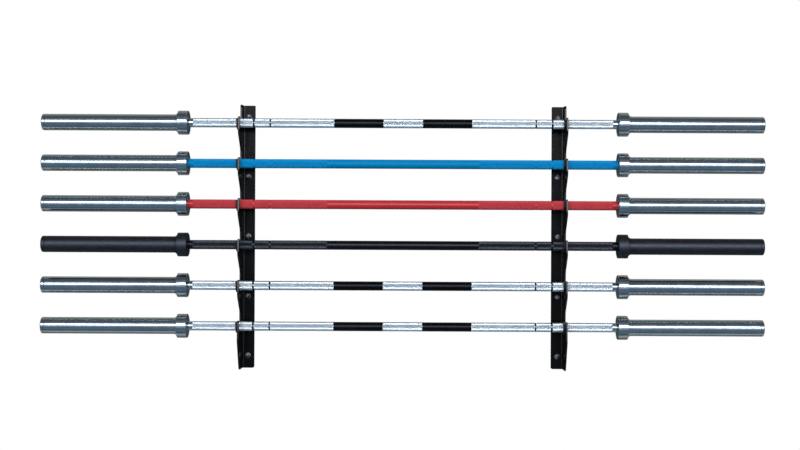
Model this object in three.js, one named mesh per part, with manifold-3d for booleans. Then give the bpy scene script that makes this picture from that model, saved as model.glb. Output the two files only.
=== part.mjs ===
// Wall-mounted barbell storage rack: two bent steel uprights with six hooks each, a plastic
// liner in every hook, bolts to the wall, and six barbells whose sleeves turn on their shafts.
// Millimetres. X runs to the right along the bars, Z is up, and the front faces -Y.
// The wall is the plane y = 0. The origin lies on it, midway between the uprights and level
// with their feet.

import * as THREE from 'three';
import { mergeVertices } from 'three/addons/utils/BufferGeometryUtils.js';
import Module from 'manifold-3d';

// Uprights
const uprightHeight = 813;
const rackWidth = 1001;
const plateThickness = 5;
const webWidth = 41;
const bendRadius = 4;
const webTopRadius = 2.5;
const webFootRadius = 6;

// Bars in the rack: the top one below the uprights' tops, the lowest above their feet
const barCount = 6;
const topBarDrop = 59;
const footDrop = 134;
const barStandOff = 65;

// Hooks, with heights measured from the centre of the bar that lies in each
const hookDepth = 100;
const lipRise = 18;
const lipWidth = 13;
const lipTipRadius = 4;
const bellyDrop = 30;
const bellyRadius = 24;
const heelDrop = 79;
const heelRadius = 16;
const topCornerRadius = 12;
const footBellyDrop = 44;
const footDepth = 60;
const footCornerRadius = 12;

// Hook liners
const linerWall = 2.8;
const linerCheek = 3.5;
const linerLap = 6;
const linerLegRise = 13.5;

// Wall bolts
const boltCount = 5;
const boltTopInset = 35;
const boltFootInset = 38;
const boltLineInset = 20.5;
const boltHoleClearance = 0.6;
const boltShankDiameter = 8;
const boltShankLength = 60;
const boltPointLength = 9;
const boltAcrossFlats = 13;
const boltHeadHeight = 7;
const boltFlangeDiameter = 20;
const boltFlangeThickness = 2;

// Barbells
const barLength = 2200;
const collarSpan = 1310;
const shaftDiameter = 28;
const journalDiameter = 25;
const retainerDiameter = 31;
const retainerWidth = 6;
const sleeveDiameter = 50;
const sleeveWall = 7;
const bushingLength = 40;
const collarDiameter = 73;
const collarWidth = 31;
const collarChamfer = 2;
const stepRingDiameter = 55;
const stepRingWidth = 6;
const pocketDepth = 34;
const endCapThickness = 10;
const endCapChamfer = 3;
const spigotLength = 8;

// Fits
const seatGap = 0.3;
const runningGap = 0.4;
const leastEdge = 0.1;
const cutOverrun = 10;

// Roundness, in facets to a full turn
const roundSides = 16;
const shaftSides = 12;
const boltSides = 12;
const hexSides = 6;

const fullTurn = Math.PI * 2;
const halfTurn = Math.PI;
const quarterTurn = Math.PI / 2;

// Places worked out from the sizes above
const barPitch = (uprightHeight - topBarDrop - footDrop) / (barCount - 1);
const halfRack = rackWidth / 2;
const shaftRadius = shaftDiameter / 2;
const linerBoreRadius = shaftRadius + seatGap;
const slotRadius = linerBoreRadius + linerWall + seatGap;
const neckDepth = barStandOff - slotRadius;
const lipFace = barStandOff + slotRadius;
const boltLineX = halfRack - boltLineInset;
const boltPitch = (uprightHeight - boltTopInset - boltFootInset) / (boltCount - 1);
const barHeight = (index) => uprightHeight - topBarDrop - barPitch * index;
const boltHeight = (index) => uprightHeight - boltTopInset - boltPitch * index;

const material = (color, roughness, metalness) =>
  new THREE.MeshStandardMaterial({ color, roughness, metalness });

const powderCoat = material(0x0b0b0e, 0.3, 0);
const blackPlastic = material(0x161618, 0.55, 0);
const blackZinc = material(0x3a3c40, 0.42, 1);
const hardChrome = material(0xc8d4dd, 0.22, 1);
const blackOxide = material(0x2c2c33, 0.38, 0.6);
const blueCoat = material(0x1a83bd, 0.4, 0);
const redCoat = material(0xb0424a, 0.4, 0);

const barFinishes = [
  { shaft: hardChrome, sleeve: hardChrome },
  { shaft: blueCoat, sleeve: hardChrome },
  { shaft: redCoat, sleeve: hardChrome },
  { shaft: blackOxide, sleeve: blackOxide },
  { shaft: hardChrome, sleeve: hardChrome },
  { shaft: hardChrome, sleeve: hardChrome },
];

// Solid joins and cuts

function solidOf(geometry) {
  const bare = geometry.clone();
  bare.deleteAttribute('normal');
  bare.deleteAttribute('uv');
  const merged = mergeVertices(bare);
  return new wasm.Manifold(new wasm.Mesh({
    numProp: 3,
    vertProperties: Float32Array.from(merged.attributes.position.array),
    triVerts: Uint32Array.from(merged.index.array),
  }));
}

function geometryOf(solid) {
  const mesh = solid.getMesh();
  const geometry = new THREE.BufferGeometry();
  geometry.setAttribute('position', new THREE.BufferAttribute(mesh.vertProperties, 3));
  geometry.setIndex(new THREE.BufferAttribute(mesh.triVerts, 1));
  geometry.computeVertexNormals();
  return geometry;
}

const wasm = await Module();
wasm.setup();

// An outline through corners of [across, up, radius], each rounded by an arc of its own radius
function outline(corners) {
  const points = [];
  corners.forEach(([x, y, radius = 0], i) => {
    const [beforeX, beforeY] = corners.at(i - 1);
    const [afterX, afterY] = corners[(i + 1) % corners.length];
    const corner = new THREE.Vector2(x, y);
    const back = new THREE.Vector2(beforeX - x, beforeY - y).normalize();
    const ahead = new THREE.Vector2(afterX - x, afterY - y).normalize();
    const halfAngle = Math.acos(back.dot(ahead)) / 2;
    const start = corner.clone().addScaledVector(back, radius / Math.tan(halfAngle));
    const centre = corner.clone()
      .addScaledVector(back.clone().add(ahead).normalize(), radius / Math.sin(halfAngle));
    const turn = (halfTurn - 2 * halfAngle) * Math.sign(ahead.cross(back));
    const steps = radius === 0 ? 0 : Math.ceil(Math.abs(turn) / fullTurn * roundSides);
    for (let step = 0; step <= steps; step += 1) {
      const point = start.clone();
      if (steps > 0) point.rotateAround(centre, turn * step / steps);
      const last = points.at(-1);
      if (!last || last.distanceTo(point) > leastEdge) points.push(point);
    }
  });
  return new THREE.Shape(points);
}

const extrude = (shape, depth) =>
  new THREE.ExtrudeGeometry(shape, { depth, bevelEnabled: false });

// A side view, drawn as (forward from the wall, up), pushed along X from one place to another
function pushedAcross(shape, fromX, toX) {
  const sideways = new THREE.Matrix4().makeBasis(
    new THREE.Vector3(0, -1, 0),
    new THREE.Vector3(0, 0, 1),
    new THREE.Vector3(-1, 0, 0),
  );
  return extrude(shape, toX - fromX).applyMatrix4(sideways).translate(toX, 0, 0);
}

// A front view, drawn as (across, up), pushed forward from one depth to another
function pushedForward(shape, fromDepth, toDepth) {
  return extrude(shape, toDepth - fromDepth).rotateX(quarterTurn).translate(0, -fromDepth, 0);
}

// A plan view, drawn as (across, forward), pushed up from one height to another
function pushedUp(shape, fromHeight, toHeight) {
  const upwards = new THREE.Matrix4().makeBasis(
    new THREE.Vector3(1, 0, 0),
    new THREE.Vector3(0, -1, 0),
    new THREE.Vector3(0, 0, -1),
  );
  return extrude(shape, toHeight - fromHeight).applyMatrix4(upwards).translate(0, 0, toHeight);
}

// Upright: an L section as tall as the rack, cut to the side view of the hooks and the front
// view of the web, and drilled for the bolts. The right one is drawn and the left one mirrors it.

function angleSection() {
  return outline([
    [halfRack - webWidth, 0],
    [halfRack, 0, bendRadius + plateThickness],
    [halfRack, hookDepth + cutOverrun],
    [halfRack - plateThickness, hookDepth + cutOverrun],
    [halfRack - plateThickness, plateThickness, bendRadius],
    [halfRack - webWidth, plateThickness],
  ]);
}

function flangeSideView() {
  const corners = [[-cutOverrun, 0], [footDepth, 0, footCornerRadius]];
  for (let i = barCount - 1; i >= 0; i -= 1) {
    const z = barHeight(i);
    if (i === barCount - 1) corners.push([hookDepth, z - footBellyDrop, bellyRadius]);
    else corners.push([neckDepth, z - heelDrop, heelRadius], [hookDepth, z - bellyDrop, bellyRadius]);
    corners.push(
      [lipFace + lipWidth, z + lipRise, lipTipRadius],
      [lipFace, z + lipRise, lipTipRadius],
      [lipFace, z - slotRadius, slotRadius],
      [neckDepth, z - slotRadius, slotRadius],
    );
  }
  corners.push([neckDepth, uprightHeight, topCornerRadius], [-cutOverrun, uprightHeight]);
  return outline(corners);
}

function webFrontView() {
  return outline([
    [halfRack - webWidth, 0, webFootRadius],
    [halfRack + cutOverrun, 0],
    [halfRack + cutOverrun, uprightHeight],
    [halfRack - webWidth, uprightHeight, webTopRadius],
  ]);
}

function rightUprightSolid() {
  const angle = solidOf(pushedUp(angleSection(), -cutOverrun, uprightHeight + cutOverrun));
  const sideView = solidOf(pushedAcross(
    flangeSideView(), halfRack - webWidth - cutOverrun, halfRack + cutOverrun));
  const frontView = solidOf(pushedForward(
    webFrontView(), -cutOverrun, hookDepth + cutOverrun));
  let upright = angle.intersect(sideView).intersect(frontView);
  for (let i = 0; i < boltCount; i += 1) {
    const drill = new THREE.CylinderGeometry(
      boltShankDiameter / 2 + boltHoleClearance, boltShankDiameter / 2 + boltHoleClearance,
      plateThickness + 2 * cutOverrun, boltSides);
    upright = upright.subtract(solidOf(drill.translate(boltLineX, 0, boltHeight(i))));
  }
  return upright;
}

// Hook liner: a U of plastic channel pressed over the edge of the slot. Its floor lies under
// the bar and its two cheeks lap the faces of the plate.

function linerBand(innerRadius, outerRadius, legRise) {
  return outline([
    [barStandOff - outerRadius, -outerRadius, outerRadius],
    [barStandOff + outerRadius, -outerRadius, outerRadius],
    [barStandOff + outerRadius, legRise],
    [barStandOff + innerRadius, legRise],
    [barStandOff + innerRadius, -innerRadius, innerRadius],
    [barStandOff - innerRadius, -innerRadius, innerRadius],
    [barStandOff - innerRadius, legRise],
    [barStandOff - outerRadius, legRise],
  ]);
}

function rightLinerSolid() {
  const plateMiddle = halfRack - plateThickness / 2;
  const grooveHalf = plateThickness / 2 + seatGap;
  const linerHalf = grooveHalf + linerCheek;
  const channel = solidOf(pushedAcross(
    linerBand(linerBoreRadius, slotRadius + linerLap, linerLegRise),
    plateMiddle - linerHalf, plateMiddle + linerHalf));
  const groove = solidOf(pushedAcross(
    linerBand(slotRadius - seatGap, slotRadius + linerLap + cutOverrun, linerLegRise + cutOverrun),
    plateMiddle - grooveHalf, plateMiddle + grooveHalf));
  return channel.subtract(groove);
}

// Wall bolt: a lag screw with a hexagon head on a pressed washer flange. Its axis is +Y with
// the flange's seat at zero, so the shank runs on into the wall.

function wallBoltGeometry() {
  const flangeRadius = boltFlangeDiameter / 2;
  const shankRadius = boltShankDiameter / 2;
  const shank = new THREE.LatheGeometry([
    new THREE.Vector2(0, -boltFlangeThickness),
    new THREE.Vector2(flangeRadius, -boltFlangeThickness / 2),
    new THREE.Vector2(flangeRadius, 0),
    new THREE.Vector2(shankRadius, 0),
    new THREE.Vector2(shankRadius, boltShankLength - boltPointLength),
    new THREE.Vector2(0, boltShankLength),
  ], boltSides);
  const cornerRadius = boltAcrossFlats / 2 / Math.cos(halfTurn / hexSides);
  const head = new THREE.CylinderGeometry(cornerRadius, cornerRadius, boltHeadHeight, hexSides);
  head.translate(0, -boltHeadHeight / 2, 0);
  return geometryOf(solidOf(shank).add(solidOf(head)));
}

// Barbell pieces are revolved. A profile runs as [radius, distance along the bar].

function revolved(profile, sides) {
  return new THREE.LatheGeometry(profile.map(([r, s]) => new THREE.Vector2(r, s)), sides);
}

// Along a bar, from its middle outwards
const collarFace = collarSpan / 2;
const sleeveEnd = barLength / 2 - endCapThickness - seatGap;
const pocketStart = sleeveEnd - pocketDepth;
const boreRadius = sleeveDiameter / 2 - sleeveWall;
const journalRadius = journalDiameter / 2;

// Shaft: knurled bar between the collars, turned down to a journal inside each sleeve. The
// collar runs against its shoulder, and a ring on each end keeps the sleeve on.
function shaftGeometry() {
  const shoulder = collarFace - runningGap;
  const ringStart = pocketStart + runningGap;
  const ringEnd = ringStart + retainerWidth;
  const rightHalf = [
    [shaftRadius, shoulder],
    [journalRadius, shoulder],
    [journalRadius, ringStart],
    [retainerDiameter / 2, ringStart],
    [retainerDiameter / 2, ringEnd],
    [0, ringEnd],
  ];
  const leftHalf = rightHalf.map(([r, s]) => [r, -s]).reverse();
  return revolved([...leftHalf, ...rightHalf], shaftSides);
}

// Sleeve: collar, step ring and plate-loading tube in one, bored through, with a bushing land
// at each end of the bore and a pocket for the retaining ring and the end cap.
function sleeveGeometry() {
  const collarRadius = collarDiameter / 2;
  const collarEnd = collarFace + collarWidth;
  const stepEnd = collarEnd + stepRingWidth;
  const bushingRadius = journalRadius + runningGap;
  return revolved([
    [bushingRadius, collarFace],
    [collarRadius - collarChamfer, collarFace],
    [collarRadius, collarFace + collarChamfer],
    [collarRadius, collarEnd - collarChamfer],
    [collarRadius - collarChamfer, collarEnd],
    [stepRingDiameter / 2, collarEnd],
    [stepRingDiameter / 2, stepEnd],
    [sleeveDiameter / 2, stepEnd],
    [sleeveDiameter / 2, sleeveEnd],
    [boreRadius, sleeveEnd],
    [boreRadius, pocketStart],
    [bushingRadius, pocketStart],
    [bushingRadius, pocketStart - bushingLength],
    [boreRadius, pocketStart - bushingLength],
    [boreRadius, collarFace + bushingLength],
    [bushingRadius, collarFace + bushingLength],
    [bushingRadius, collarFace],
  ], roundSides);
}

// End cap: a chamfered disc with a spigot that presses into the sleeve's pocket.
function endCapGeometry() {
  const spigotRadius = boreRadius - seatGap;
  const capStart = sleeveEnd + seatGap;
  return revolved([
    [0, sleeveEnd - spigotLength],
    [spigotRadius, sleeveEnd - spigotLength],
    [spigotRadius, capStart],
    [sleeveDiameter / 2, capStart],
    [sleeveDiameter / 2, barLength / 2 - endCapChamfer],
    [sleeveDiameter / 2 - endCapChamfer, barLength / 2],
    [0, barLength / 2],
  ], roundSides);
}

// Assembly

function named(name, geometry, finish) {
  const mesh = new THREE.Mesh(geometry, finish.clone());
  mesh.name = name;
  return mesh;
}

// A solid drawn at the right, or its mirror image at the left
function onSide(side, rightSolid) {
  return geometryOf(side === 'right' ? rightSolid : rightSolid.mirror([1, 0, 0]));
}

const rack = new THREE.Group();
const uprightSolid = rightUprightSolid();
const linerSolid = rightLinerSolid();
const boltGeometry = wallBoltGeometry();

for (const side of ['left', 'right']) {
  const sign = side === 'right' ? 1 : -1;
  rack.add(named(`${side}_upright`, onSide(side, uprightSolid), powderCoat));
  for (let i = 0; i < barCount; i += 1) {
    const liner = named(`hook_liner_${side}_${i + 1}`, onSide(side, linerSolid), blackPlastic);
    liner.position.z = barHeight(i);
    rack.add(liner);
  }
  for (let i = 0; i < boltCount; i += 1) {
    const bolt = named(`wall_bolt_${side}_${i + 1}`, boltGeometry.clone(), blackZinc);
    bolt.position.set(sign * boltLineX, -plateThickness - seatGap, boltHeight(i));
    rack.add(bolt);
  }
}

for (let i = 0; i < barCount; i += 1) {
  const { shaft, sleeve } = barFinishes[i % barFinishes.length];
  const bar = new THREE.Group();
  bar.position.set(0, -barStandOff, barHeight(i));
  const shaftMesh = named(`bar_${i + 1}_shaft`, shaftGeometry(), shaft);
  shaftMesh.rotation.z = -quarterTurn;
  bar.add(shaftMesh);
  for (const side of ['left', 'right']) {
    const end = new THREE.Group();
    end.rotation.z = side === 'right' ? -quarterTurn : quarterTurn;
    end.add(named(`bar_${i + 1}_sleeve_${side}`, sleeveGeometry(), sleeve));
    end.add(named(`bar_${i + 1}_end_cap_${side}`, endCapGeometry(), sleeve));
    bar.add(end);
  }
  rack.add(bar);
}

export default rack;
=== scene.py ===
import math

import bmesh
import bpy
from mathutils import Matrix, Vector


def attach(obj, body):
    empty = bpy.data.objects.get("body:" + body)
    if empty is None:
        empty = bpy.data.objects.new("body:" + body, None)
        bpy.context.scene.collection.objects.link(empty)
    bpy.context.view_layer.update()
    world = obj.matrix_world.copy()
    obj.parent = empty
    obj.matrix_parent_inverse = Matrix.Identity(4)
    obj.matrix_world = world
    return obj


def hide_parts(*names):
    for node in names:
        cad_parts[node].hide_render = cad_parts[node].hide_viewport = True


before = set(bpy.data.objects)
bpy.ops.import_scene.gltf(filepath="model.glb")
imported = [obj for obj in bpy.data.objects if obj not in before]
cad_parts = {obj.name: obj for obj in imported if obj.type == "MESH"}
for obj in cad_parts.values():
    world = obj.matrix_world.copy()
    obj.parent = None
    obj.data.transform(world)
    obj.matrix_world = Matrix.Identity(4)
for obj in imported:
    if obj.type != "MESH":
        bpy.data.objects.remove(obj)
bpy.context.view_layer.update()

# Uprights
# Two lengths of 5 mm steel plate, laser cut with six hooks down one edge and five holes down the
# other, then folded into an L. The web lies on the wall and the flange stands out from it. They
# are blasted and powder coated black after the fold.

mm = 0.001
upright_height, rack_width = 813 * mm, 1001 * mm
plate_thickness, web_width = 5 * mm, 41 * mm
bend_radius, web_top_corner, web_foot_corner = 4 * mm, 2.5 * mm, 6 * mm
hook_depth, lip_rise, lip_width, lip_tip = 100 * mm, 18 * mm, 13 * mm, 4 * mm
belly_drop, belly_radius, heel_drop, heel_radius = 30 * mm, 24 * mm, 79 * mm, 16 * mm
foot_belly_drop, foot_depth, foot_corner, top_corner = 44 * mm, 60 * mm, 12 * mm, 12 * mm
bar_stand_off, slot_radius = 65 * mm, 17.4 * mm
bar_count, top_bar_height, bar_pitch = 6, 754 * mm, 124 * mm
bar_heights = [top_bar_height - bar_pitch * n for n in range(bar_count)]
bolt_count, top_bolt_height, bolt_pitch = 5, 778 * mm, 185 * mm
bolt_heights = [top_bolt_height - bolt_pitch * n for n in range(bolt_count)]
bolt_line, bolt_hole_radius, hole_sides = 480 * mm, 4.6 * mm, 32
plate_edge_break, least_edge, overrun = 0.6 * mm, 0.05 * mm, 10 * mm
half_rack = rack_width / 2
inner_bend = half_rack - plate_thickness - bend_radius
neck_depth, lip_face = bar_stand_off - slot_radius, bar_stand_off + slot_radius


def rounded(corners, arc_steps=12):
    """The points of an outline whose corners, [across, up, radius], are rounded by arcs."""
    points = []
    for i, (x, y, radius) in enumerate(corners):
        corner = Vector((x, y))
        if radius == 0:
            points.append(corner)
            continue
        back = (Vector(corners[i - 1][:2]) - corner).normalized()
        ahead = (Vector(corners[(i + 1) % len(corners)][:2]) - corner).normalized()
        half_angle = back.angle(ahead) / 2
        start = corner + back * radius / math.tan(half_angle)
        centre = corner + (back + ahead).normalized() * radius / math.sin(half_angle)
        turn = math.copysign(math.pi - 2 * half_angle, ahead.cross(back))
        for step in range(arc_steps + 1):
            spoke = start - centre
            spoke.rotate(Matrix.Rotation(turn * step / arc_steps, 2))
            if not points or (centre + spoke - points[-1]).length > least_edge:
                points.append(centre + spoke)
    return points


def circle(across, up, radius, sides):
    """The points of a circle or of a regular polygon about (across, up)."""
    angles = [math.tau * i / sides for i in range(sides)]
    return [[across + radius * math.cos(a), up + radius * math.sin(a)] for a in angles]


def prism(name, outline, low, high, place):
    """A solid of one outline, from low to high. place turns (across, up, deep) to (x, y, z)."""
    count = len(outline)
    corners = [place(a, b, c) for c in (low, high) for a, b in outline]
    faces = [list(range(count)), list(range(count, 2 * count))]
    faces += [[i, (i + 1) % count, (i + 1) % count + count, i + count] for i in range(count)]
    mesh = bpy.data.meshes.new(name)
    mesh.from_pydata(corners, [], faces)
    return solid(name, mesh)


def solid(name, mesh):
    """An object of a closed mesh, with its faces turned outwards."""
    shell = bmesh.new()
    shell.from_mesh(mesh)
    bmesh.ops.recalc_face_normals(shell, faces=shell.faces)
    shell.to_mesh(mesh)
    shell.free()
    piece = bpy.data.objects.new(name, mesh)
    bpy.context.scene.collection.objects.link(piece)
    return piece


def settle(piece):
    """A piece's modifiers become its mesh."""
    made = piece.evaluated_get(bpy.context.evaluated_depsgraph_get())
    mesh = bpy.data.meshes.new_from_object(made)
    piece.modifiers.clear()
    piece.data = mesh


def cut(piece, tool, operation):
    """Joins a piece with a tool, or cuts it by the tool, and the tool goes."""
    modifier = piece.modifiers.new("cut", "BOOLEAN")
    modifier.object, modifier.operation, modifier.solver = tool, operation, "EXACT"
    settle(piece)
    bpy.data.objects.remove(tool)


def break_edges(piece, width, segments, angle):
    """Takes the sharpness off a piece's edges, with its flat faces left flat to the eye."""
    piece.data.shade_smooth()
    bevel = piece.modifiers.new("broken edges", "BEVEL")
    bevel.width, bevel.segments, bevel.limit_method = width, segments, "ANGLE"
    bevel.angle_limit, bevel.harden_normals, bevel.use_clamp_overlap = angle, True, False
    settle(piece)


def linear(colour):
    """An sRGB hex colour as the linear values that a shader takes."""
    parts = [int(colour[i:i + 2], 16) / 255 for i in (0, 2, 4)]
    return [p / 12.92 if p <= 0.04045 else ((p + 0.055) / 1.055) ** 2.4 for p in parts] + [1]


def add(tree, kind, sockets, **settings):
    """A node with its settings, and with a value or a link for each socket named."""
    node = tree.nodes.new(kind)
    for name, value in settings.items():
        setattr(node, name, value)
    for socket, value in sockets.items():
        if isinstance(value, bpy.types.NodeSocket):
            tree.links.new(value, node.inputs[socket])
        else:
            node.inputs[socket].default_value = value
    return node


def bare_material(name):
    """A material with nothing in its tree, and the tree."""
    material = bpy.data.materials.new(name)
    material.use_nodes = True
    material.node_tree.nodes.clear()
    return material, material.node_tree


hook_corners = [[-overrun, 0, 0], [foot_depth, 0, foot_corner]]
for z in reversed(bar_heights):
    if z == bar_heights[-1]:
        hook_corners.append([hook_depth, z - foot_belly_drop, belly_radius])
    else:
        hook_corners.append([neck_depth, z - heel_drop, heel_radius])
        hook_corners.append([hook_depth, z - belly_drop, belly_radius])
    hook_corners += [
        [lip_face + lip_width, z + lip_rise, lip_tip],
        [lip_face, z + lip_rise, lip_tip],
        [lip_face, z - slot_radius, slot_radius],
        [neck_depth, z - slot_radius, slot_radius],
    ]
hook_corners += [[neck_depth, upright_height, top_corner], [-overrun, upright_height, 0]]


def powder_coat(name, shine):
    """Powder coat is a baked polyester film. It is black and half glossy, with an orange peel a
    couple of millimetres across that breaks reflections into streaks, and dust dulls it."""
    material, tree = bare_material(name)
    place = add(tree, "ShaderNodeTexCoord", {}).outputs["Object"]
    peel = add(tree, "ShaderNodeTexNoise", {"Vector": place, "Scale": 1 / (2.2 * mm),
                                            "Detail": 1.5})
    dust = add(tree, "ShaderNodeTexNoise", {"Vector": place, "Scale": 1 / (45 * mm), "Detail": 6,
                                            "Roughness": 0.6})
    tone = add(tree, "ShaderNodeMix", {"Factor": dust.outputs["Fac"], "A": linear("030304"),
                                       "B": linear("08080b")}, data_type="RGBA")
    dulled = add(tree, "ShaderNodeMapRange", {"Value": dust.outputs["Fac"], "From Min": 0.35,
                                              "From Max": 0.7, "To Min": 0.18, "To Max": 0.3})
    relief = add(tree, "ShaderNodeBump", {"Height": peel.outputs["Fac"], "Strength": 0.6,
                                          "Distance": 0.06 * mm})
    coat = add(tree, "ShaderNodeBsdfPrincipled", {
        "Base Color": tone.outputs["Result"], "Roughness": dulled.outputs["Result"],
        "Normal": relief.outputs["Normal"], "IOR": 1.5, "Specular IOR Level": shine})
    add(tree, "ShaderNodeOutputMaterial", {"Surface": coat.outputs["BSDF"]})
    return material


# The web's copy of the coat is given almost no shine, so that it mirrors no light and stays
# dark as painted shade. The flange's copy keeps its shine, so its inner bend catches the light.
web_coat = powder_coat("web_powder_coat_without_sheen", shine=0.08)
flange_coat = powder_coat("flange_powder_coat_with_sheen", shine=0.35)

for side, sign in (("left", -1), ("right", 1)):
    from_above = lambda across, forward, up: (sign * across, -forward, up)
    from_side = lambda forward, up, across: (sign * across, -forward, up)
    from_front = lambda across, up, forward: (sign * across, -forward, up)
    upright = prism(f"upright_{side}", rounded([
        [half_rack - web_width, 0, 0],
        [half_rack, 0, bend_radius + plate_thickness],
        [half_rack, hook_depth + overrun, 0],
        [half_rack - plate_thickness, hook_depth + overrun, 0],
        [half_rack - plate_thickness, plate_thickness, bend_radius],
        [half_rack - web_width, plate_thickness, 0],
    ]), -overrun, upright_height + overrun, from_above)
    cut(upright, prism("side_view", rounded(hook_corners), half_rack - web_width - overrun,
                       half_rack + overrun, from_side), "INTERSECT")
    cut(upright, prism("front_view", rounded([
        [half_rack - web_width, 0, web_foot_corner],
        [half_rack + overrun, 0, 0],
        [half_rack + overrun, upright_height, 0],
        [half_rack - web_width, upright_height, web_top_corner],
    ]), -overrun, hook_depth + overrun, from_front), "INTERSECT")
    for z in bolt_heights:
        hole = circle(bolt_line, z, bolt_hole_radius, hole_sides)
        cut(upright, prism("bolt_hole", hole, -overrun, overrun, from_front), "DIFFERENCE")
    break_edges(upright, plate_edge_break, segments=2, angle=math.radians(40))
    upright.data.materials.clear()
    upright.data.materials.append(web_coat)
    upright.data.materials.append(flange_coat)
    # Faces out past the inner bend take the flange's shiny copy, and the rest take the web's
    # shaded copy.
    for face in upright.data.polygons:
        face.material_index = int(abs(face.center.x) > inner_bend)
    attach(upright, "rack")
    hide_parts(f"{side}_upright")

# Hook liners
# A channel of black polyethylene is pressed over the edge of each hook, bent to a U with the
# slot. Its floor carries the bar and its two cheeks lap the plate, so the shaft never meets
# steel. It is moulded, and friction holds it.

bore_radius, liner_rise = 14.3 * mm, 13.5 * mm
liner_floor, liner_lap = 2.8 * mm, 9.1 * mm
liner_half_width, groove_half_width = 6.3 * mm, 2.8 * mm
floor_corner, cheek_corner, groove_corner = 1.4 * mm, 1.2 * mm, 0.5 * mm
moulded_edge, turn_steps = 0.35 * mm, 36
liner_line = half_rack - plate_thickness / 2


def bare_tree(name, inputs):
    """A Geometry Nodes tree with geometry in and out and inputs of the kinds named."""
    tree = bpy.data.node_groups.new(name, "GeometryNodeTree")
    tree.interface.new_socket("Geometry", in_out="INPUT", socket_type="NodeSocketGeometry")
    tree.interface.new_socket("Geometry", in_out="OUTPUT", socket_type="NodeSocketGeometry")
    for label, kind in inputs.items():
        tree.interface.new_socket(label, in_out="INPUT", socket_type=f"NodeSocket{kind}")
    return tree, add(tree, "NodeGroupInput", {}).outputs


def grow(piece, tree, values):
    """Runs a tree on a piece with the values of its inputs, and keeps the mesh that it makes."""
    modifier = piece.modifiers.new(tree.name, "NODES")
    modifier.node_group = tree
    for item in tree.interface.items_tree:
        if item.in_out == "INPUT" and item.name in values:
            modifier[item.identifier] = values[item.name]
    settle(piece)


def wire(name, points, closed):
    """A line through points, as an object with edges and no faces."""
    edges = [[i, i + 1] for i in range(len(points) - 1)]
    mesh = bpy.data.meshes.new(name)
    mesh.from_pydata(points, edges + ([[len(points) - 1, 0]] if closed else []), [])
    line = bpy.data.objects.new(name, mesh)
    bpy.context.scene.collection.objects.link(line)
    return line


def rows_down(tree, given, stand_off):
    """Points for two rows of like pieces, one down each upright from the top."""
    down = add(tree, "ShaderNodeMath", {0: 0.0, 1: given["Pitch"]}, operation="SUBTRACT")
    back = add(tree, "ShaderNodeMath", {0: 0.0, 1: stand_off}, operation="SUBTRACT")
    step_down = add(tree, "ShaderNodeCombineXYZ", {"Z": down.outputs[0]})
    rows = add(tree, "GeometryNodeJoinGeometry", {})
    for direction in (-1.0, 1.0):
        across = add(tree, "ShaderNodeMath", {0: given["Half spacing"], 1: direction},
                     operation="MULTIPLY")
        first = add(tree, "ShaderNodeCombineXYZ", {
            "X": across.outputs[0], "Y": back.outputs[0], "Z": given["Top"]})
        row = add(tree, "GeometryNodeMeshLine", {
            "Count": given["Count"], "Start Location": first.outputs[0],
            "Offset": step_down.outputs[0]})
        tree.links.new(row.outputs["Mesh"], rows.inputs["Geometry"])
    return rows.outputs["Geometry"]


# The tree sweeps the channel's section along the U of one slot and sets a copy at each bar, in
# two rows, one for each upright.
liner_tree, given = bare_tree("hook_liner_rows", {
    "Section": "Object", "Count": "Int", "Pitch": "Float", "Top": "Float",
    "Half spacing": "Float", "Stand-off": "Float", "Finish": "Material"})
path = add(liner_tree, "GeometryNodeMeshToCurve", {"Mesh": given["Geometry"]})
section = add(liner_tree, "GeometryNodeObjectInfo", {"Object": given["Section"]})
section = add(liner_tree, "GeometryNodeMeshToCurve", {"Mesh": section.outputs["Geometry"]})
channel = add(liner_tree, "GeometryNodeCurveToMesh", {
    "Curve": path.outputs["Curve"], "Profile Curve": section.outputs["Curve"],
    "Fill Caps": True})
copies = add(liner_tree, "GeometryNodeInstanceOnPoints", {
    "Points": rows_down(liner_tree, given, given["Stand-off"]),
    "Instance": channel.outputs["Mesh"]})
real = add(liner_tree, "GeometryNodeRealizeInstances", {"Geometry": copies.outputs["Instances"]})
painted = add(liner_tree, "GeometryNodeSetMaterial", {
    "Geometry": real.outputs["Geometry"], "Material": given["Finish"]})
add(liner_tree, "NodeGroupOutput", {"Geometry": painted.outputs["Geometry"]})

# Moulded polyethylene is a soft black with a dull sheen. The tool's spark eroded skin gives it a
# fine grain, and bars polish the floor of the channel in patches.
liner_plastic, tree = bare_material("black_moulded_polyethylene")
place = add(tree, "ShaderNodeTexCoord", {}).outputs["Object"]
grain = add(tree, "ShaderNodeTexNoise", {"Vector": place, "Scale": 1 / (0.9 * mm), "Detail": 3})
patches = add(tree, "ShaderNodeTexNoise", {"Vector": place, "Scale": 1 / (14 * mm), "Detail": 3})
polish = add(tree, "ShaderNodeMapRange", {"Value": patches.outputs["Fac"], "From Min": 0.35,
                                          "From Max": 0.65, "To Min": 0.38, "To Max": 0.6})
shade = add(tree, "ShaderNodeMix", {"Factor": patches.outputs["Fac"], "A": linear("0a0a0d"),
                                    "B": linear("131317")}, data_type="RGBA")
skin = add(tree, "ShaderNodeBump", {"Height": grain.outputs["Fac"], "Strength": 0.5,
                                    "Distance": 0.05 * mm})
plastic = add(tree, "ShaderNodeBsdfPrincipled", {
    "Base Color": shade.outputs["Result"], "Roughness": polish.outputs["Result"],
    "Normal": skin.outputs["Normal"], "IOR": 1.51, "Specular IOR Level": 0.25})
add(tree, "ShaderNodeOutputMaterial", {"Surface": plastic.outputs["BSDF"]})

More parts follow.
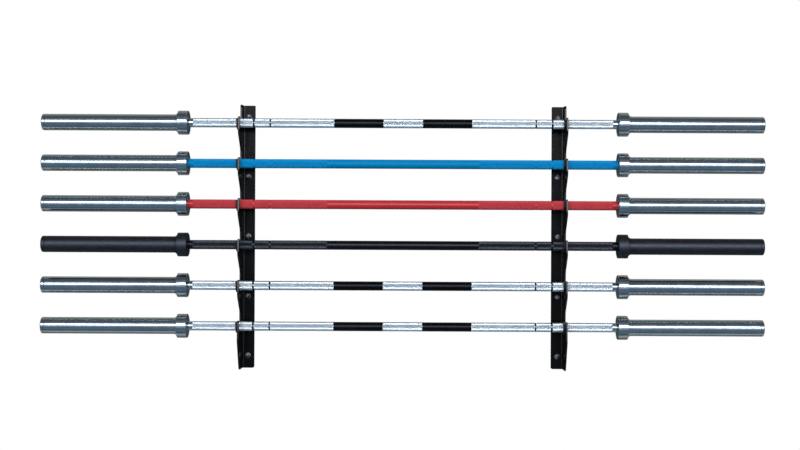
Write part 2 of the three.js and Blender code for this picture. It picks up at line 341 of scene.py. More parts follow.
half_turn = [math.pi * i / turn_steps for i in range(turn_steps + 1)]
u_line = [[0, -bore_radius, liner_rise]]
u_line += [[0, -bore_radius * math.cos(a), -bore_radius * math.sin(a)] for a in half_turn]
u_line += [[0, bore_radius, liner_rise]]
liners = wire("hook_liners", u_line, closed=False)
channel_section = wire("channel_section", [[-out, across, 0] for across, out in rounded([
    [-liner_half_width, 0, floor_corner],
    [liner_half_width, 0, floor_corner],
    [liner_half_width, liner_lap, cheek_corner],
    [groove_half_width, liner_lap, groove_corner],
    [groove_half_width, liner_floor, 0],
    [-groove_half_width, liner_floor, 0],
    [-groove_half_width, liner_lap, groove_corner],
    [-liner_half_width, liner_lap, cheek_corner],
], arc_steps=5)], closed=True)
grow(liners, liner_tree, {
    "Section": channel_section, "Count": bar_count, "Pitch": bar_pitch, "Top": top_bar_height,
    "Half spacing": liner_line, "Stand-off": bar_stand_off, "Finish": liner_plastic})
bpy.data.objects.remove(channel_section)
break_edges(liners, moulded_edge, segments=2, angle=math.radians(50))
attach(liners, "rack")
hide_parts(*[f"hook_liner_{side}_{n}" for side in ("left", "right") for n in range(1, 7)])

# Wall bolts
# Ten 8 mm steel lag bolts go through the webs into the wall. Each is cold formed with a hexagon
# head on a pressed washer flange and a rolled coarse thread, and is plated in black zinc.

head_across_flats, head_height, head_face_radius = 13 * mm, 7 * mm, 6.1 * mm
flange_radius, shank_radius, core_radius = 10 * mm, 4 * mm, 3.1 * mm
shank_length, point_length, bolt_seat = 60 * mm, 9 * mm, 5.3 * mm
thread_start, thread_pitch, thread_turns = 16 * mm, 3.4 * mm, 12
run_out_start, run_out_end = thread_start - 3 * mm, thread_start - 2 * mm
head_sunk, head_edge_break = 1.2 * mm, 0.2 * mm
chamfer_angle, crease = math.radians(30), math.radians(28)
head_sides, chamfer_sides, shank_sides, thread_steps, turn_seed = 6, 96, 32, 16, 3
# The flange from its crown, under the head, over its rounded rim and in to the shank.
flange_outline = [[-2 * mm, 0], [-1.9 * mm, 7.6 * mm], [-1.3 * mm, 9.3 * mm],
                  [-0.9 * mm, 9.85 * mm], [-0.5 * mm, flange_radius], [-0.2 * mm, 9.9 * mm],
                  [0, 9.6 * mm], [0, shank_radius]]


def turned(name, profile, sides, place, finishes=None):
    """A solid turned on a lathe. profile runs as [along, radius] and starts and ends on the axis
    or closes on itself. place turns (along, out, out) to (x, y, z)."""
    corners, rings = [], []
    for along, radius in profile:
        count = 1 if radius == 0 else sides
        rings.append(list(range(len(corners), len(corners) + count)) * (sides // count))
        corners += [place(along, a, b) for a, b in circle(0, 0, radius, count)]
    faces, slots = [], []
    joints = list(zip(range(len(profile) - 1), range(1, len(profile))))
    if profile[0][1] > 0:
        joints.append((len(profile) - 1, 0))
    for a, b in joints:
        for i in range(sides):
            j = (i + 1) % sides
            face = [rings[a][i], rings[a][j], rings[b][j], rings[b][i]]
            face = [v for k, v in enumerate(face) if v != face[k - 1]]
            if len(face) > 2:
                faces.append(face)
                slots.append(finishes(profile[a], profile[b]) if finishes else 0)
    mesh = bpy.data.meshes.new(name)
    mesh.from_pydata(corners, [], faces)
    mesh.polygons.foreach_set("material_index", slots)
    mesh.shade_smooth()
    piece = solid(name, mesh)
    piece.data.set_sharp_from_angle(angle=crease)
    return piece


# The tree winds the thread's four-sided ridge on the shank, thinning to the point, and sets the
# bolts down two lines, each turned by its own amount, as a spanner leaves them.
bolt_tree, given = bare_tree("wall_bolt_lines", {
    "Count": "Int", "Pitch": "Float", "Top": "Float", "Half spacing": "Float", "Seat": "Float",
    "Thread start": "Float", "Thread pitch": "Float", "Turns": "Float", "Core radius": "Float",
    "Thread steps": "Int", "Ridge": "Float", "Shank length": "Float", "Point length": "Float",
    "Seed": "Int", "Finish": "Material"})
length = add(bolt_tree, "ShaderNodeMath", {0: given["Thread pitch"], 1: given["Turns"]},
             operation="MULTIPLY")
helix = add(bolt_tree, "GeometryNodeCurveSpiral", {
    "Resolution": given["Thread steps"], "Rotations": given["Turns"],
    "Start Radius": given["Core radius"], "End Radius": given["Core radius"],
    "Height": length.outputs[0]})
lifted = add(bolt_tree, "ShaderNodeCombineXYZ", {"Z": given["Thread start"]})
helix = add(bolt_tree, "GeometryNodeSetPosition", {
    "Geometry": helix.outputs["Curve"], "Offset": lifted.outputs[0]})
here = add(bolt_tree, "GeometryNodeInputPosition", {})
apart = add(bolt_tree, "ShaderNodeSeparateXYZ", {"Vector": here.outputs[0]})
point_start = add(bolt_tree, "ShaderNodeMath", {0: given["Shank length"],
                                                1: given["Point length"]}, operation="SUBTRACT")
thinning = add(bolt_tree, "ShaderNodeMapRange", {
    "Value": apart.outputs["Z"], "From Min": point_start.outputs[0],
    "From Max": given["Shank length"], "To Min": 1.0, "To Max": 0.1})
thin_x = add(bolt_tree, "ShaderNodeMath", {0: apart.outputs["X"], 1: thinning.outputs["Result"]},
             operation="MULTIPLY")
thin_y = add(bolt_tree, "ShaderNodeMath", {0: apart.outputs["Y"], 1: thinning.outputs["Result"]},
             operation="MULTIPLY")
thin = add(bolt_tree, "ShaderNodeCombineXYZ", {
    "X": thin_x.outputs[0], "Y": thin_y.outputs[0], "Z": apart.outputs["Z"]})
helix = add(bolt_tree, "GeometryNodeSetPosition", {
    "Geometry": helix.outputs["Geometry"], "Position": thin.outputs[0]})
helix = add(bolt_tree, "GeometryNodeSetCurveNormal", {"Curve": helix.outputs["Geometry"]},
            mode="Z_UP")
ridge = add(bolt_tree, "GeometryNodeCurvePrimitiveCircle", {
    "Resolution": 4, "Radius": given["Ridge"]})
thread = add(bolt_tree, "GeometryNodeCurveToMesh", {
    "Curve": helix.outputs["Curve"], "Profile Curve": ridge.outputs["Curve"], "Fill Caps": True})
thread = add(bolt_tree, "GeometryNodeTransform", {
    "Geometry": thread.outputs["Mesh"], "Rotation": (-math.pi / 2, 0, 0)})
bolt = add(bolt_tree, "GeometryNodeJoinGeometry", {"Geometry": given["Geometry"]})
bolt_tree.links.new(thread.outputs["Geometry"], bolt.inputs["Geometry"])
turn = add(bolt_tree, "FunctionNodeRandomValue", {
    "Min": 0.0, "Max": math.tau / head_sides, "Seed": given["Seed"]}, data_type="FLOAT")
turn = add(bolt_tree, "ShaderNodeCombineXYZ", {"Y": turn.outputs["Value"]})
copies = add(bolt_tree, "GeometryNodeInstanceOnPoints", {
    "Points": rows_down(bolt_tree, given, given["Seat"]), "Instance": bolt.outputs["Geometry"],
    "Rotation": turn.outputs[0]})
real = add(bolt_tree, "GeometryNodeRealizeInstances", {"Geometry": copies.outputs["Instances"]})
plated = add(bolt_tree, "GeometryNodeSetMaterial", {
    "Geometry": real.outputs["Geometry"], "Material": given["Finish"]})
add(bolt_tree, "NodeGroupOutput", {"Geometry": plated.outputs["Geometry"]})

# Black zinc is a thin dark film on bright zinc. It shines dully, greyer where a spanner or the
# wall has rubbed it.
black_zinc, tree = bare_material("black_zinc_plate")
place = add(tree, "ShaderNodeTexCoord", {}).outputs["Object"]
rub = add(tree, "ShaderNodeTexNoise", {"Vector": place, "Scale": 1 / (5 * mm), "Detail": 4})
rubbed = add(tree, "ShaderNodeValToRGB", {"Fac": rub.outputs["Fac"]})
rubbed.color_ramp.elements[0].position, rubbed.color_ramp.elements[1].position = 0.4, 0.72
rubbed.color_ramp.elements[0].color = linear("2b2d32")
rubbed.color_ramp.elements[1].color = linear("77797d")
scuffed = add(tree, "ShaderNodeMapRange", {"Value": rub.outputs["Fac"], "To Min": 0.28,
                                           "To Max": 0.5})
zinc = add(tree, "ShaderNodeBsdfPrincipled", {
    "Base Color": rubbed.outputs["Color"], "Roughness": scuffed.outputs["Result"],
    "Metallic": 1.0})
add(tree, "ShaderNodeOutputMaterial", {"Surface": zinc.outputs["BSDF"]})

into_wall = lambda along, a, b: (a, along, b)
corner_radius = head_across_flats / math.sqrt(3)
clear_radius = corner_radius + mm
chamfer_rise = (clear_radius - head_face_radius) * math.tan(chamfer_angle)
bolts = prism("wall_bolts", circle(0, 0, corner_radius, head_sides), -head_height, -head_sunk,
              lambda a, b, c: (a, c, b))
cut(bolts, turned("head_chamfer", [
    [-head_height, 0], [-head_height, head_face_radius],
    [chamfer_rise - head_height, clear_radius], [0, clear_radius], [0, 0],
], chamfer_sides, into_wall), "INTERSECT")
break_edges(bolts, head_edge_break, segments=1, angle=math.radians(20))
cut(bolts, turned("flange_and_shank", flange_outline + [
    [run_out_start, shank_radius], [run_out_end, core_radius],
    [shank_length - point_length, core_radius], [shank_length, 0],
], shank_sides, into_wall), "UNION")
bolts.data.set_sharp_from_angle(angle=crease)
grow(bolts, bolt_tree, {
    "Count": bolt_count, "Pitch": bolt_pitch, "Top": top_bolt_height,
    "Half spacing": bolt_line, "Seat": bolt_seat, "Thread start": thread_start,
    "Thread pitch": thread_pitch, "Turns": float(thread_turns), "Core radius": core_radius,
    "Thread steps": thread_steps, "Ridge": shank_radius - core_radius,
    "Shank length": shank_length, "Point length": point_length, "Seed": turn_seed,
    "Finish": black_zinc})
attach(bolts, "rack")
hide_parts(*[f"wall_bolt_{side}_{n}" for side in ("left", "right") for n in range(1, 6)])

# Bar shafts
# Each is a 28 mm spring steel rod, ground and rolled with a diamond knurl, with narrow rings that
# mark the grips. The three chromed ones have a knurl in the middle between two black bands. The
# blue, red and black ones are plain there. The ends are turned down to run in the sleeves.

shaft_radius, journal_radius, retainer_radius = 14 * mm, 12.5 * mm, 15.5 * mm
crest_radius, knurl_depth, core = 14.2 * mm, 0.5 * mm, 13.6 * mm
collar_face, pocket_start, running_gap = 655 * mm, 1055.7 * mm, 0.4 * mm
shoulder, journal_end = collar_face - running_gap, pocket_start + running_gap
retainer_end = journal_end + 6 * mm
band_start, band_end, smooth_end = 60 * mm, 210 * mm, 231 * mm
ring_marks = [[403 * mm, 407 * mm], [452.5 * mm, 457.5 * mm]]
knurl_end = 640 * mm
plain_edge, grip_edge, end_edge = 0.2 * mm, 0.3 * mm, 0.5 * mm
diamonds_around, groove_angle = 56, math.radians(30)
turned_sides = 64

# The tree rolls one length of knurl: a grid wrapped round the rod whose points stand up and sink
# in by turns, so that every cell is half of a four-sided pyramid. The real diamonds are 1.4 mm
# across. These are 1.6 mm, which is coarse enough to draw.
knurl_tree, given = bare_tree("knurled_length", {
    "Start": "Float", "Length": "Float", "Radius": "Float", "Depth": "Float", "Core": "Float",
    "Diamonds around": "Int", "Groove angle": "Float", "Finish": "Material"})
columns = add(knurl_tree, "ShaderNodeMath", {0: given["Diamonds around"], 1: 2.0},
              operation="MULTIPLY")
turn_step = add(knurl_tree, "ShaderNodeMath", {0: math.tau, 1: columns.outputs[0]},
                operation="DIVIDE")
half_width = add(knurl_tree, "ShaderNodeMath", {0: given["Radius"], 1: turn_step.outputs[0]},
                 operation="MULTIPLY")
slope = add(knurl_tree, "ShaderNodeMath", {0: given["Groove angle"]}, operation="TANGENT")
half_length = add(knurl_tree, "ShaderNodeMath", {0: half_width.outputs[0],
                                                 1: slope.outputs[0]}, operation="DIVIDE")
rows = add(knurl_tree, "ShaderNodeMath", {0: given["Length"], 1: half_length.outputs[0]},
           operation="DIVIDE")
rows = add(knurl_tree, "ShaderNodeMath", {0: rows.outputs[0]}, operation="ROUND")
row_step = add(knurl_tree, "ShaderNodeMath", {0: given["Length"], 1: rows.outputs[0]},
               operation="DIVIDE")
across_count = add(knurl_tree, "ShaderNodeMath", {0: columns.outputs[0], 1: 1.0},
                   operation="ADD")
along_count = add(knurl_tree, "ShaderNodeMath", {0: rows.outputs[0], 1: 1.0}, operation="ADD")
grid = add(knurl_tree, "GeometryNodeMeshGrid", {
    "Size X": 1.0, "Size Y": 1.0, "Vertices X": across_count.outputs[0],
    "Vertices Y": along_count.outputs[0]})
index = add(knurl_tree, "GeometryNodeInputIndex", {})
column = add(knurl_tree, "ShaderNodeMath", {0: index.outputs[0], 1: along_count.outputs[0]},
             operation="DIVIDE")
column = add(knurl_tree, "ShaderNodeMath", {0: column.outputs[0]}, operation="FLOOR")
row = add(knurl_tree, "ShaderNodeMath", {0: index.outputs[0], 1: along_count.outputs[0]},
          operation="MODULO")
both = add(knurl_tree, "ShaderNodeMath", {0: column.outputs[0], 1: row.outputs[0]},
           operation="ADD")
crest = add(knurl_tree, "ShaderNodeMath", {0: both.outputs[0], 1: 2.0}, operation="MODULO")
valley = add(knurl_tree, "ShaderNodeMath", {0: given["Radius"], 1: given["Depth"]},
             operation="SUBTRACT")
height = add(knurl_tree, "ShaderNodeMath", {
    0: crest.outputs[0], 1: given["Depth"], 2: valley.outputs[0]}, operation="MULTIPLY_ADD")
rows_left = add(knurl_tree, "ShaderNodeMath", {0: rows.outputs[0], 1: row.outputs[0]},
                operation="SUBTRACT")
from_end = add(knurl_tree, "ShaderNodeMath", {0: row.outputs[0], 1: rows_left.outputs[0]},
               operation="MINIMUM")
height = add(knurl_tree, "ShaderNodeMapRange", {
    "Value": from_end.outputs[0], "To Min": given["Core"], "To Max": height.outputs[0]})
angle = add(knurl_tree, "ShaderNodeMath", {0: column.outputs[0], 1: turn_step.outputs[0]},
            operation="MULTIPLY")
along = add(knurl_tree, "ShaderNodeMath", {
    0: row.outputs[0], 1: row_step.outputs[0], 2: given["Start"]}, operation="MULTIPLY_ADD")
cosine = add(knurl_tree, "ShaderNodeMath", {0: angle.outputs[0]}, operation="COSINE")
sine = add(knurl_tree, "ShaderNodeMath", {0: angle.outputs[0]}, operation="SINE")
out_y = add(knurl_tree, "ShaderNodeMath", {0: cosine.outputs[0], 1: height.outputs["Result"]},
            operation="MULTIPLY")
out_z = add(knurl_tree, "ShaderNodeMath", {0: sine.outputs[0], 1: height.outputs["Result"]},
            operation="MULTIPLY")
wrapped = add(knurl_tree, "ShaderNodeCombineXYZ", {
    "X": along.outputs[0], "Y": out_y.outputs[0], "Z": out_z.outputs[0]})
tube = add(knurl_tree, "GeometryNodeSetPosition", {
    "Geometry": grid.outputs["Mesh"], "Position": wrapped.outputs[0]})
tube = add(knurl_tree, "GeometryNodeMergeByDistance", {
    "Geometry": tube.outputs["Geometry"], "Distance": 0.01 * mm})
tube = add(knurl_tree, "GeometryNodeTriangulate", {"Mesh": tube.outputs["Geometry"]},
           quad_method="SHORTEST_DIAGONAL")
tube = add(knurl_tree, "GeometryNodeCaptureAttribute", {"Geometry": tube.outputs["Mesh"]},
           domain="FACE")
tube.capture_items.new("BOOLEAN", "Knurled")
tube.inputs["Knurled"].default_value = True
whole = add(knurl_tree, "GeometryNodeJoinGeometry", {"Geometry": given["Geometry"]})
knurl_tree.links.new(tube.outputs["Geometry"], whole.inputs["Geometry"])
real = add(knurl_tree, "GeometryNodeRealizeInstances", {"Geometry": whole.outputs["Geometry"]})
coated = add(knurl_tree, "GeometryNodeSetMaterial", {
    "Geometry": real.outputs["Geometry"], "Selection": tube.outputs["Knurled"],
    "Material": given["Finish"]})
add(knurl_tree, "NodeGroupOutput", {"Geometry": coated.outputs["Geometry"]})


def metal(name, dark, light, rough_low, rough_high, patch, scratch):
    """A bright or darkened metal finish. Handling leaves patches that size. Fine scratches, fifty
    times as long as they are wide, run along the bar where things have slid on it."""
    material, tree = bare_material(name)
    place = add(tree, "ShaderNodeTexCoord", {}).outputs["Object"]
    handled = add(tree, "ShaderNodeTexNoise", {"Vector": place, "Scale": 1 / patch, "Detail": 5,
                                               "Roughness": 0.6})
    tone = add(tree, "ShaderNodeMix", {"Factor": handled.outputs["Fac"], "A": linear(dark),
                                       "B": linear(light)}, data_type="RGBA")
    gloss = add(tree, "ShaderNodeMapRange", {
        "Value": handled.outputs["Fac"], "From Min": 0.3, "From Max": 0.7,
        "To Min": rough_low, "To Max": rough_high})
    stretched = add(tree, "ShaderNodeMapping", {"Vector": place, "Scale": (0.02, 1, 1)})
    lines = add(tree, "ShaderNodeTexNoise", {"Vector": stretched.outputs["Vector"],
                                             "Scale": 1 / scratch, "Detail": 2})
    relief = add(tree, "ShaderNodeBump", {"Height": lines.outputs["Fac"], "Strength": 0.35,
                                          "Distance": 0.02 * mm})
    shader = add(tree, "ShaderNodeBsdfPrincipled", {
        "Base Color": tone.outputs["Result"], "Roughness": gloss.outputs["Result"],
        "Normal": relief.outputs["Normal"], "Metallic": 1.0})
    add(tree, "ShaderNodeOutputMaterial", {"Surface": shader.outputs["BSDF"]})
    return material


def baked_coat(name, dark, light, rough, shine):
    """A thin ceramic coating, sprayed and baked: an even satin colour with a faint tooth."""
    material, tree = bare_material(name)
    place = add(tree, "ShaderNodeTexCoord", {}).outputs["Object"]
    cloud = add(tree, "ShaderNodeTexNoise", {"Vector": place, "Scale": 1 / (30 * mm), "Detail": 5})
    tooth = add(tree, "ShaderNodeTexNoise", {"Vector": place, "Scale": 1 / (0.8 * mm)})
    tone = add(tree, "ShaderNodeMix", {"Factor": cloud.outputs["Fac"], "A": linear(dark),
                                       "B": linear(light)}, data_type="RGBA")
    relief = add(tree, "ShaderNodeBump", {"Height": tooth.outputs["Fac"], "Strength": 0.3,
                                          "Distance": 0.02 * mm})
    shader = add(tree, "ShaderNodeBsdfPrincipled", {
        "Base Color": tone.outputs["Result"], "Roughness": rough,
        "Normal": relief.outputs["Normal"], "IOR": 1.5, "Specular IOR Level": shine})
    add(tree, "ShaderNodeOutputMaterial", {"Surface": shader.outputs["BSDF"]})
    return material


# Hard chrome is ground before it is plated, so the rod mirrors its room with a bluish cast. The
# knurl's small faces scatter the same mirror, and the knurl's chrome is drawn whiter than the
# plain rod's, a painted sheen for that scatter. The two bands are drawn near black. The ring
# marks are painted dark, a painted shade in their grooves, and the journals stay as they were
# turned, bare and oiled.
knurled_chrome = metal("knurled_hard_chrome", "ced8e0", "e6edf2", 0.32, 0.4, 30 * mm, 0.6 * mm)
plain_chrome = metal("ground_hard_chrome", "a4b0ba", "c8d1d8", 0.1, 0.18, 30 * mm, 0.6 * mm)
black_band = metal("near_black_band", "191a1e", "26272c", 0.3, 0.4, 30 * mm, 0.6 * mm)
ring_mark = metal("ring_mark_painted_shade", "2a2c30", "43464b", 0.25, 0.4, 8 * mm, 0.6 * mm)
journal_steel = metal("turned_journal_steel", "8a8d90", "a6a9ab", 0.2, 0.3, 20 * mm, 0.4 * mm)
# Black oxide is a converted steel skin, oiled: near black with a dull metal shine under it.
# Its knurled copy is drawn lighter, a painted sheen for the light its small faces scatter.
black_oxide_knurl = metal("knurled_black_oxide", "3e4148", "4c4f57", 0.38, 0.5, 30 * mm,
                          0.6 * mm)
black_oxide_plain = metal("plain_black_oxide", "222429", "2e3036", 0.3, 0.4, 30 * mm,
                          0.6 * mm)
# The knurled blue and red coats are drawn lighter and hazier than the plain ones, a painted sheen
# for the light their small faces scatter.
blue_knurl = baked_coat("knurled_blue_ceramic", "0096da", "049fe4", rough=0.5, shine=0.15)
blue_plain = baked_coat("plain_blue_ceramic", "008ed4", "0298de", rough=0.38, shine=0.08)
red_knurl = baked_coat("knurled_red_ceramic", "cc444e", "d84e58", rough=0.5, shine=0.2)
red_plain = baked_coat("plain_red_ceramic", "cc2c36", "d8363f", rough=0.34, shine=0.45)

band_step = [[band_start, core], [band_start, shaft_radius - plain_edge],
             [band_start + plain_edge, shaft_radius]]


def bar_profile(centre, plain_end):
    """A shaft's profile from end to end. centre is what comes before the plain length."""
    half = centre + [[plain_end - plain_edge, shaft_radius],
                     [plain_end, shaft_radius - plain_edge], [plain_end, core],
                     [ring_marks[0][0], core], [ring_marks[0][1], core],
                     [ring_marks[1][0], core], [ring_marks[1][1], core],
                     [knurl_end, core], [knurl_end, shaft_radius - grip_edge],
                     [knurl_end + grip_edge, shaft_radius], [shoulder - end_edge, shaft_radius],
                     [shoulder, shaft_radius - end_edge], [shoulder, journal_radius],
                     [journal_end, journal_radius], [journal_end, retainer_radius - end_edge],
                     [journal_end + end_edge, retainer_radius],
                     [retainer_end - end_edge, retainer_radius],
                     [retainer_end, retainer_radius - end_edge], [retainer_end, 0]]
    return [[-a, r] for a, r in reversed(half)] + half


def bar_knurl(centre, plain_end):
    """The [start, end] of each knurled length of a bar. centre holds the one in the middle."""
    half = [[plain_end, ring_marks[0][0]], [ring_marks[0][1], ring_marks[1][0]],
            [ring_marks[1][1], knurl_end]]
    return centre + [length for a, b in half for length in ([a, b], [-b, -a])]


def shaft_finish(one, other):
    """Which finish lies between two points of a shaft's profile: 0 plain, 1 band, 2 ring mark,
    3 journal."""
    middle = abs(one[0] + other[0]) / 2
    if middle >= shoulder:
        return 3
    if band_start <= middle <= band_end:
        return 1
    return 2 if band_end < middle < knurl_end else 0


banded = bar_profile(band_step, band_end), bar_knurl([[-band_start, band_start]], band_end)
smooth = bar_profile([], smooth_end), bar_knurl([], smooth_end)
chromed = (*banded, knurled_chrome, plain_chrome, black_band, ring_mark, "hard_chrome")
blue = (*smooth, blue_knurl, blue_plain, blue_plain, blue_plain, "blue_coat")
red = (*smooth, red_knurl, red_plain, red_plain, red_plain, "red_coat")
blackened = (*smooth, black_oxide_knurl, black_oxide_plain, black_oxide_plain, black_oxide_plain,
             "black_oxide")

along_bar = lambda along, a, b: (along, a, b)
for n, bar in enumerate([chromed, blue, red, blackened, chromed, chromed], 1):
    profile, knurled_lengths, knurl, plain, band, ring, slot = bar
    shaft = turned(f"shaft_{n}", profile, turned_sides, along_bar, shaft_finish)
    for finish in (plain, band, ring, journal_steel):
        shaft.data.materials.append(finish)
    for start, end in knurled_lengths:
        grow(shaft, knurl_tree, {
            "Start": start, "Length": end - start, "Radius": crest_radius,
            "Depth": knurl_depth, "Core": core, "Diamonds around": diamonds_around,
            "Groove angle": groove_angle, "Finish": knurl})
    shaft.data.transform(Matrix.Translation((0, -bar_stand_off, bar_heights[n - 1])))
    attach(shaft, f"bar_{n}")
    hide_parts(f"bar_{n}_shaft")

# Sleeves
# A 50 mm steel tube turns on each end of a bar and carries the plates. Its collar and step ring
# are turned from the same steel, bronze bushings are pressed into both ends of its bore, and the
# outside is ground and hard chromed, or black on the fourth bar.

collar_radius, collar_end, collar_round = 36.5 * mm, 686 * mm, 2 * mm
face_groove_inner, face_groove_outer, face_groove_depth = 19.5 * mm, 32.3 * mm, 0.8 * mm
step_radius, step_end = 27.5 * mm, 692 * mm
sleeve_radius, sleeve_end = 25 * mm, 1089.7 * mm
undercut_end, undercut_depth, undercut_run_out = step_end + 0.9 * mm, 0.3 * mm, 0.2 * mm
seam_place, seam_width, seam_depth, seam_wall = 1083.3 * mm, 0.8 * mm, 0.4 * mm, 0.15 * mm
bore, bore_edge, bushing_bore, bushing_length = 18 * mm, 0.5 * mm, 12.9 * mm, 40 * mm
# How far each point of a blunted edge stands from the corner, along one face and the other.
ring_edge = [[0, 0.8 * mm], [0.3 * mm, 0.2 * mm], [0.9 * mm, 0]]
tube_edge = [[0, 0.6 * mm], [0.2 * mm, 0.2 * mm], [0.6 * mm, 0]]


def quarter_round(along, out, radius, start, steps=4):
    """A quarter circle in a profile, about (along, out), from a start in degrees clockwise."""
    angles = [math.radians(start - 90 * i / steps) for i in range(steps + 1)]
    return [[along + radius * math.cos(a), out + radius * math.sin(a)] for a in angles]


sleeve_profile = [
    [collar_face, bushing_bore], [collar_face, face_groove_inner],
    [collar_face + face_groove_depth, face_groove_inner + face_groove_depth],
    [collar_face + face_groove_depth, face_groove_outer - face_groove_depth],
    [collar_face, face_groove_outer],
    *quarter_round(collar_face + collar_round, collar_radius - collar_round, collar_round, 180),
    *quarter_round(collar_end - collar_round, collar_radius - collar_round, collar_round, 90),
    *[[collar_end + a, step_radius + b] for a, b in ring_edge],
    *[[step_end - b, step_radius - a] for a, b in ring_edge],
    [step_end, sleeve_radius - undercut_depth], [undercut_end, sleeve_radius - undercut_depth],
    [undercut_end + undercut_run_out, sleeve_radius], [seam_place, sleeve_radius],
    [seam_place + seam_wall, sleeve_radius - seam_depth],
    [seam_place + seam_width - seam_wall, sleeve_radius - seam_depth],
    [seam_place + seam_width, sleeve_radius],
    *[[sleeve_end - b, sleeve_radius - a] for a, b in tube_edge],
    [sleeve_end, bore + bore_edge], [sleeve_end - bore_edge, bore],
    [pocket_start, bore], [pocket_start, bushing_bore],
    [pocket_start - bushing_length, bushing_bore], [pocket_start - bushing_length, bore],
    [collar_face + bushing_length, bore], [collar_face + bushing_length, bushing_bore],
]
all_ends = [(n, side, sign) for n in range(1, bar_count + 1)
            for side, sign in (("left", -1), ("right", 1))]

# Ground chrome on a sleeve is a duller mirror than on a shaft, with scratches along it from
# plates. The black ones are rougher, and hardly shine. Bronze bushings show only where a sleeve
# ends.
sleeve_chrome = metal("hard_chrome_sleeve", "98a2ab", "bcc6ce", 0.13, 0.22, 25 * mm, 0.5 * mm)
sleeve_black = metal("black_oxide_sleeve", "34373f", "42454e", 0.42, 0.54, 25 * mm, 0.5 * mm)
bushing_bronze = metal("oiled_bronze", "7a5a33", "9c7846", 0.3, 0.45, 10 * mm, 0.4 * mm)


def end_finish(n):
    """The finish of a bar's ends and its slot. The fourth bar's are black."""
    return (sleeve_black, "black_oxide") if n == 4 else (sleeve_chrome, "hard_chrome")


def sleeve_finish(one, other):
    """Bronze on the bushings' bores and ends, and the sleeve's own finish elsewhere."""
    return 1 if max(one[1], other[1]) <= bore and min(one[1], other[1]) < bore else 0


def on_bar(n, sign):
    """The place of a lathe's points on the left end of a bar, -1, or its right end, 1."""
    return lambda along, a, b: (sign * along, a - bar_stand_off, b + bar_heights[n - 1])


for n, side, sign in all_ends:
    finish, slot = end_finish(n)
    sleeve = turned(f"sleeve_{n}_{side}", sleeve_profile, turned_sides, on_bar(n, sign),
                    sleeve_finish)
    sleeve.data.materials.append(finish)
    sleeve.data.materials.append(bushing_bronze)
    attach(sleeve, f"bar_{n}_{side}_end")
    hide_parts(f"bar_{n}_sleeve_{side}")

# End caps
# A steel plug closes each sleeve: a disc with a rounded edge, its spigot pressed in the bore. The
# face is turned with a shallow dish and a centre mark from the lathe.

cap_start, bar_end, cap_round = 1090 * mm, 1100 * mm, 3 * mm
spigot_radius, spigot_end, spigot_edge = 17.7 * mm, 1081.7 * mm, 0.5 * mm
# The dish and its centre mark, as [depth, radius] from its rim inwards.
dish = [[0, 18 * mm], [0.4 * mm, 17.4 * mm], [1.2 * mm, 16.4 * mm], [1.5 * mm, 15 * mm],
        [1.5 * mm, 2 * mm], [3 * mm, 0]]
cap_profile = [
    [spigot_end, 0], [spigot_end, spigot_radius - spigot_edge],
    [spigot_end + spigot_edge, spigot_radius], [cap_start, spigot_radius],
    *[[cap_start + a, sleeve_radius - b] for a, b in tube_edge],
    *quarter_round(bar_end - cap_round, sleeve_radius - cap_round, cap_round, 90),
    *[[bar_end - depth, radius] for depth, radius in dish],
]

for n, side, sign in all_ends:
    finish, slot = end_finish(n)
    cap = turned(f"cap_{n}_{side}", cap_profile, turned_sides, on_bar(n, sign))
    cap.data.materials.append(finish)
    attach(cap, f"bar_{n}_{side}_end")
    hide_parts(f"bar_{n}_end_cap_{side}")

# Floor
# A pale round of matt board lies below the rack, just out of the camera's view, and takes the
# rack's shadow in the views from above. It glows a little to stay pale, but lights nothing.

floor_drop, floor_radius, board_thickness, floor_sides = 0.9, 2.8, 20 * mm, 128
floor = turned("floor", [
    [-floor_drop - board_thickness, 0], [-floor_drop - board_thickness, floor_radius],
    [-floor_drop, floor_radius], [-floor_drop, 0],
], floor_sides, lambda along, a, b: (a, b, along))
board, tree = bare_material("pale_matt_board")
place = add(tree, "ShaderNodeTexCoord", {}).outputs["Object"]
mottle = add(tree, "ShaderNodeTexNoise", {"Vector": place, "Scale": 1 / (83.3 * mm),
                                          "Detail": 6})
tone = add(tree, "ShaderNodeMix", {"Factor": mottle.outputs["Fac"], "A": linear("e6e6e4"),
                                   "B": linear("ededeb")}, data_type="RGBA")
paper = add(tree, "ShaderNodeBsdfPrincipled", {
    "Base Color": tone.outputs["Result"], "Roughness": 0.9,
    "Emission Color": tone.outputs["Result"], "Emission Strength": 0.6})
add(tree, "ShaderNodeOutputMaterial", {"Surface": paper.outputs["BSDF"]})
floor.data.materials.append(board)
floor.visible_glossy = floor.visible_diffuse = False

# Light
# One long soft box stands far in front, a little above the rack, and lays the bright line along
# every sleeve. A weak even light fills the shadows, and the backdrop behind the rack is white.

rack_middle = Vector((0, 0, 0.45))


def soft_panel(name, place, width, height, watts):
    """A flat soft light at that place, turned to the middle of the rack and unseen itself."""
    light = bpy.data.lights.new(name, "AREA")
    light.shape, light.size, light.size_y, light.energy = "RECTANGLE", width, height, watts
    lamp = bpy.data.objects.new(name, light)
    lamp.location = place
    lamp.rotation_euler = (rack_middle - lamp.location).to_track_quat("-Z", "Y").to_euler()
    lamp.visible_camera = False
    bpy.context.scene.collection.objects.link(lamp)
    return lamp


soft_panel("soft_box", (0.4, -9, 3.0), width=16, height=2.6, watts=860)
# Two broad weak panels, which metal doesn't mirror: one overhead for the tops of things and the
# floor, and one behind for the rack's back.
for panel in (soft_panel("overhead_panel", (0, -0.5, 8), width=8, height=8, watts=110),
              soft_panel("back_panel", (0, 9, 1.2), width=8, height=2, watts=260)):
    panel.visible_glossy = False

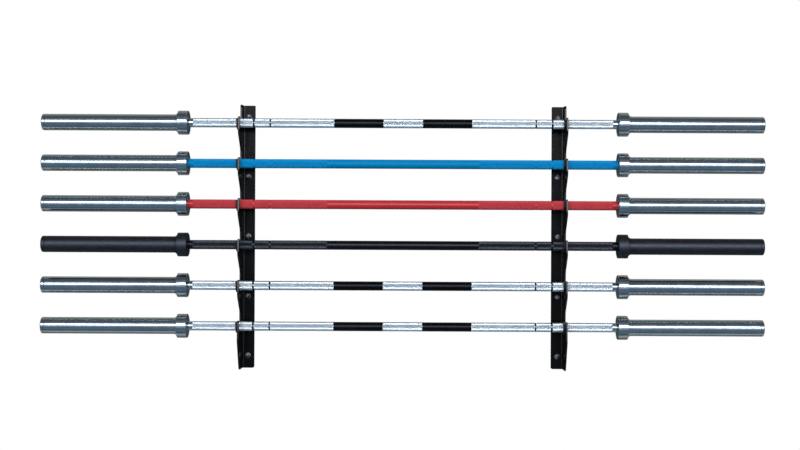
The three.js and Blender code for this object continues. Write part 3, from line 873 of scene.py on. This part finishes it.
# The room that metal mirrors is drawn by its angle round the bars' axis, in degrees from straight
# ahead and up. A bright band lies ahead between dim walls, with a pale strip of floor straight
# down. Behind, the backdrop is pale above, dark in its middle and grey below.
room_tones = [
    [-180, "3a4248"], [-160, "646664"], [-140, "96958c"], [-112, "747875"], [-96, "c6d0d2"],
    [-84, "c6d0d2"], [-72, "43565f"], [-55, "6c818f"], [-42, "778c9c"], [-26, "66798b"],
    [-14, "7b8ea2"], [-7, "c4d0de"], [8, "dce6f2"], [20, "dce6f2"], [27, "8c99a8"],
    [48, "78828f"], [64, "58616b"], [80, "62686e"], [100, "84867f"], [122, "b6b7a8"],
    [145, "b0b0a2"], [160, "6a6c6a"], [172, "3a4248"],
]
room = bpy.data.worlds.new("studio")
room.use_nodes = True
tree = room.node_tree
tree.nodes.clear()
way = add(tree, "ShaderNodeTexCoord", {}).outputs["Generated"]
way = add(tree, "ShaderNodeSeparateXYZ", {"Vector": way})
ahead = add(tree, "ShaderNodeMath", {0: way.outputs["Y"], 1: -1.0}, operation="MULTIPLY")
height = add(tree, "ShaderNodeMath", {0: way.outputs["Z"], 1: ahead.outputs[0]},
             operation="ARCTAN2")
share = add(tree, "ShaderNodeMath", {0: height.outputs[0], 1: 1 / math.tau, 2: 0.5},
            operation="MULTIPLY_ADD")
mirrored = add(tree, "ShaderNodeValToRGB", {"Fac": share.outputs[0]})
stops = mirrored.color_ramp.elements
for degrees, colour in room_tones[1:-1]:
    stops.new(degrees / 360 + 0.5).color = linear(colour)
stops[0].position, stops[0].color = room_tones[0][0] / 360 + 0.5, linear(room_tones[0][1])
stops[len(stops) - 1].position = room_tones[-1][0] / 360 + 0.5
stops[len(stops) - 1].color = linear(room_tones[-1][1])
seen = add(tree, "ShaderNodeLightPath", {})
shiny = add(tree, "ShaderNodeMath", {0: seen.outputs["Is Glossy Ray"],
                                     1: seen.outputs["Is Transmission Ray"]},
            operation="MAXIMUM")
backdrop = add(tree, "ShaderNodeBackground", {"Color": (1, 1, 1, 1), "Strength": 1.0})
reflections = add(tree, "ShaderNodeBackground", {"Color": mirrored.outputs["Color"],
                                                 "Strength": 1.0})
fill = add(tree, "ShaderNodeBackground", {"Color": (1, 1, 1, 1), "Strength": 0.05})
unseen = add(tree, "ShaderNodeMixShader", {
    0: shiny.outputs[0], 1: fill.outputs[0], 2: reflections.outputs[0]})
shown = add(tree, "ShaderNodeMixShader", {
    0: seen.outputs["Is Camera Ray"], 1: unseen.outputs[0], 2: backdrop.outputs[0]})
add(tree, "ShaderNodeOutputWorld", {"Surface": shown.outputs[0]})
bpy.context.scene.world = room

# Camera
# It stands 3.8 m in front, near the middle and level with the gap between the third and fourth
# bars. It looks all but straight at the wall, so the bars keep one spacing from end to end.

focal_length, sensor_width, sideways_shift, nearest = 55.06, 36, -0.0233, 0.05
camera_place = Vector((0.0482, -3.8, 0.4317))
camera_tilt, camera_roll = math.radians(90.202), math.radians(0.265)

lens = bpy.data.cameras.new("camera")
lens.lens, lens.sensor_width = focal_length, sensor_width
lens.shift_x, lens.clip_start = sideways_shift, nearest
camera = bpy.data.objects.new("camera", lens)
camera.matrix_world = (Matrix.Translation(camera_place) @ Matrix.Rotation(camera_tilt, 4, "X")
                       @ Matrix.Rotation(camera_roll, 4, "Z"))
bpy.context.scene.collection.objects.link(camera)
bpy.context.scene.camera = camera
bpy.context.scene.view_settings.view_transform = "Standard"
